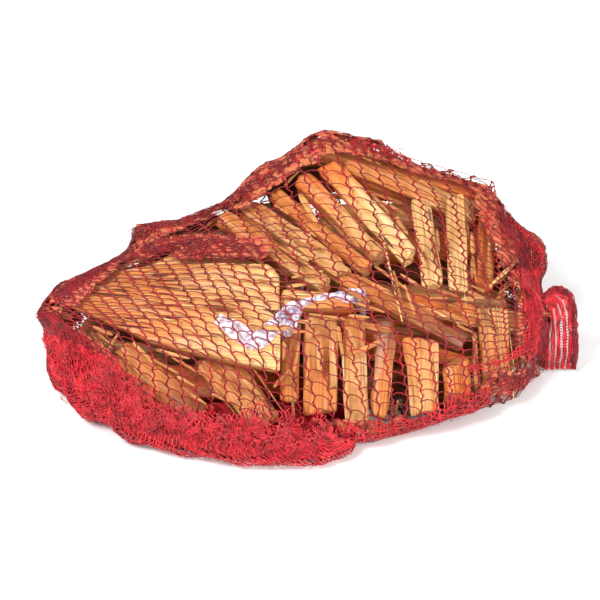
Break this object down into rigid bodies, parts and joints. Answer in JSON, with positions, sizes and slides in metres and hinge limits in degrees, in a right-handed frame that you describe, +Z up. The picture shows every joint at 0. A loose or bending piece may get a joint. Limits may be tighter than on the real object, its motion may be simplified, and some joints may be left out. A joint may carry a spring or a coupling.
{
  "type": "bag of kindling",
  "caption": "Net bag of split kindling lying on its side: sticks and a wide board packed crosswise inside tight knitted netting, slack netting bunched at one foot.",
  "frame": {"origin": "middle of the footprint box of the lying bag, on the floor", "axes": "+X along the bag to the side of the mouth flap, +Y from the bunched foot to the high back, +Z up"},
  "size_m": [0.5212, 0.3404, 0.1804],
  "materials": {
    "split_wood": "rough split, dry, untreated",
    "netting": "knitted red plastic tape, slightly glossy",
    "clear_plastic": "thin clear film, crumpled"
  },
  "bodies": {
    "root": {"amber_stick": "split_wood", "back_left_stick": "split_wood", "bark_billet": "split_wood", "bright_stick": "split_wood", "front_stick_1": "split_wood", "front_stick_2": "split_wood", "front_stick_3": "split_wood", "front_stick_4": "split_wood", "front_stick_5": "split_wood", "front_stick_6": "split_wood", "front_stick_7": "split_wood", "gap_stick": "split_wood", "inner_stick_01": "split_wood", "inner_stick_02": "split_wood", "inner_stick_03": "split_wood", "inner_stick_04": "split_wood", "inner_stick_05": "split_wood", "inner_stick_06": "split_wood", "inner_stick_07": "split_wood", "inner_stick_08": "split_wood", "inner_stick_09": "split_wood", "inner_stick_10": "split_wood", "inner_stick_11": "split_wood", "inner_stick_12": "split_wood", "inner_stick_13": "split_wood", "inner_stick_14": "split_wood", "inner_stick_15": "split_wood", "inner_stick_16": "split_wood", "inner_stick_17": "split_wood", "inner_stick_18": "split_wood", "inner_stick_19": "split_wood", "inner_stick_20": "split_wood", "inner_stick_21": "split_wood", "inner_stick_22": "split_wood", "inner_stick_23": "split_wood", "left_back_stick": "split_wood", "left_low_stick": "split_wood", "long_splinter": "split_wood", "low_right_stick": "split_wood", "low_tip_stick": "split_wood", "net_bag": "netting", "pale_stick_1": "split_wood", "pale_stick_2": "split_wood", "plastic_strip": "clear_plastic", "ridge_stick": "split_wood", "second_ridge_stick": "split_wood", "short_splinter": "split_wood", "under_board_stick_1": "split_wood", "under_board_stick_2": "split_wood", "under_board_stick_3": "split_wood", "upper_stick_1": "split_wood", "upper_stick_2": "split_wood", "upper_stick_3": "split_wood", "upper_stick_4": "split_wood", "wide_board": "split_wood", "yellow_block": "split_wood"}
  },
  "joints": []
}
